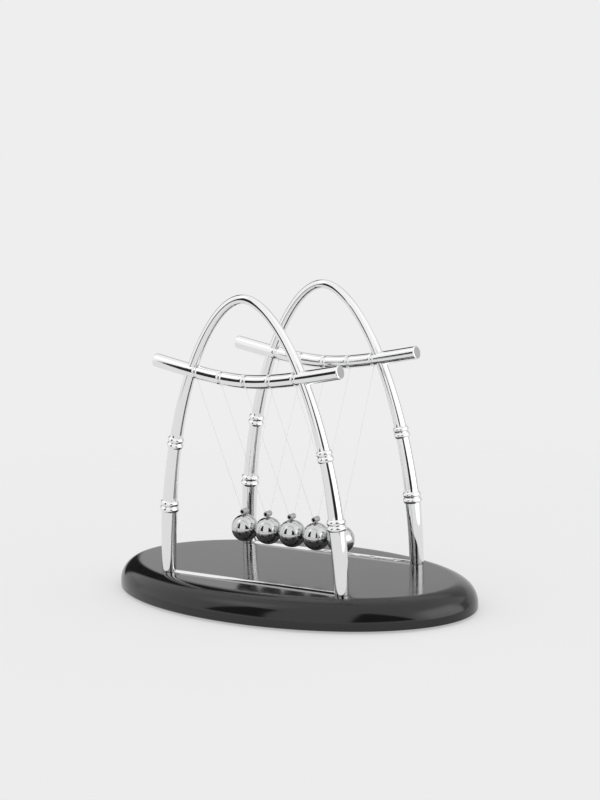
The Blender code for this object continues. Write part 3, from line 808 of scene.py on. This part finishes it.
def build_world():
    world = bpy.data.worlds.new("light_tent")
    bpy.context.scene.world = world
    world.use_nodes = True
    g = Graph(world.node_tree)
    g.tree.nodes.clear()
    turn = math.radians(VIEW_AZIMUTH)
    place = g.node("ShaderNodeTexCoord").outputs["Generated"]
    to_right, to_camera = (math.cos(turn), math.sin(turn), 0), (math.sin(turn), -math.cos(turn), 0)
    right = g.node("ShaderNodeVectorMath", {0: place, 1: to_right}, operation="DOT_PRODUCT").outputs["Value"]
    near = g.node("ShaderNodeVectorMath", {0: place, 1: to_camera}, operation="DOT_PRODUCT").outputs["Value"]
    height = g.node("ShaderNodeSeparateXYZ", {0: place}).outputs[2]
    degree = math.degrees(1)
    azimuth = g.math("MULTIPLY", g.math("ARCTAN2", right, near), degree)
    left, far = g.math("MULTIPLY", right, -1), g.math("MULTIPLY", near, -1)
    from_back = g.math("MULTIPLY", g.math("ARCTAN2", left, far), degree)
    elevation = g.math("MULTIPLY", g.math("ARCSINE", height), degree)
    level = g.between(elevation, -1.5, 1.5, BACKGROUND, TENT_LEVEL)
    for cards, angle in ((SHADES_IN_FRONT, azimuth), (SHADES_BEHIND, from_back)):
        for low, high, edges, soft, brightness in cards:
            mask = card_mask(g, angle, elevation, low, high, edges, soft)
            level = g.between(mask, 0, 1, level, brightness, smooth=False)
    tent = g.node("ShaderNodeBackground", {"Color": (1, 1, 1, 1), "Strength": level}).outputs[0]
    paper = g.node("ShaderNodeBackground", {"Color": (1, 1, 1, 1), "Strength": BACKGROUND}).outputs[0]
    seen = g.node("ShaderNodeLightPath").outputs["Is Camera Ray"]
    mixed = g.node("ShaderNodeMixShader", {0: seen, 1: tent, 2: paper}).outputs[0]
    g.node("ShaderNodeOutputWorld", {"Surface": mixed})
    world.cycles.sampling_method = "NONE"  # reflections alone find the cards


def floor_material():
    """White paper that glows a little, fades away far out and is clear from below."""
    material = bpy.data.materials.new("paper_floor")
    material.use_nodes = True
    g = Graph(material.node_tree)
    g.tree.nodes.clear()
    colour = (PAPER_GREY, PAPER_GREY, PAPER_GREY, 1)
    diffuse = g.node("ShaderNodeBsdfDiffuse", {"Color": colour}).outputs[0]
    own = g.node("ShaderNodeEmission", {"Strength": BACKGROUND * PAPER_GLOW}).outputs[0]
    paper = g.node("ShaderNodeAddShader", {0: diffuse, 1: own}).outputs[0]
    place = g.node("ShaderNodeTexCoord").outputs["Object"]
    distance = g.node("ShaderNodeVectorMath", {0: place}, operation="LENGTH").outputs["Value"]
    far = g.between(distance, FLOOR_FADE, FLOOR_RADIUS * 0.95, 0, 1)
    under = g.node("ShaderNodeNewGeometry").outputs["Backfacing"]
    hidden = g.math("MAXIMUM", far, under)
    clear = g.node("ShaderNodeBsdfTransparent").outputs[0]
    mixed = g.node("ShaderNodeMixShader", {0: hidden, 1: paper, 2: clear}).outputs[0]
    g.node("ShaderNodeOutputMaterial", {"Surface": mixed})
    return material


def build_stage():
    bm = bmesh.new()
    bmesh.ops.create_circle(bm, cap_ends=True, segments=96, radius=FLOOR_RADIUS)
    mesh = bpy.data.meshes.new("paper_floor")
    bm.to_mesh(mesh)
    bm.free()
    mesh.materials.append(floor_material())
    paper = bpy.data.objects.new("paper_floor", mesh)
    bpy.context.scene.collection.objects.link(paper)
    build_world()
    build_cards()


def build_camera():
    azimuth, elevation = math.radians(VIEW_AZIMUTH), math.radians(VIEW_ELEVATION)
    level = math.cos(elevation)
    back = Vector((math.sin(azimuth) * level, -math.cos(azimuth) * level, math.sin(elevation)))
    data = bpy.data.cameras.new("view")
    data.lens, data.sensor_width, data.sensor_fit = VIEW_LENS, VIEW_HEIGHT, "AUTO"
    camera = bpy.data.objects.new("view", data)
    bpy.context.scene.collection.objects.link(camera)
    camera.location = VIEW_TARGET + VIEW_DISTANCE * back
    facing = back.to_track_quat("Z", "Y").to_matrix()
    camera.rotation_euler = (facing @ Matrix.Rotation(math.radians(VIEW_ROLL), 3, "Z")).to_euler()
    bpy.context.scene.camera = camera


build_base()
build_frames()
build_pendulums()
build_stage()
build_camera()
bpy.context.scene.view_settings.view_transform = "Standard"
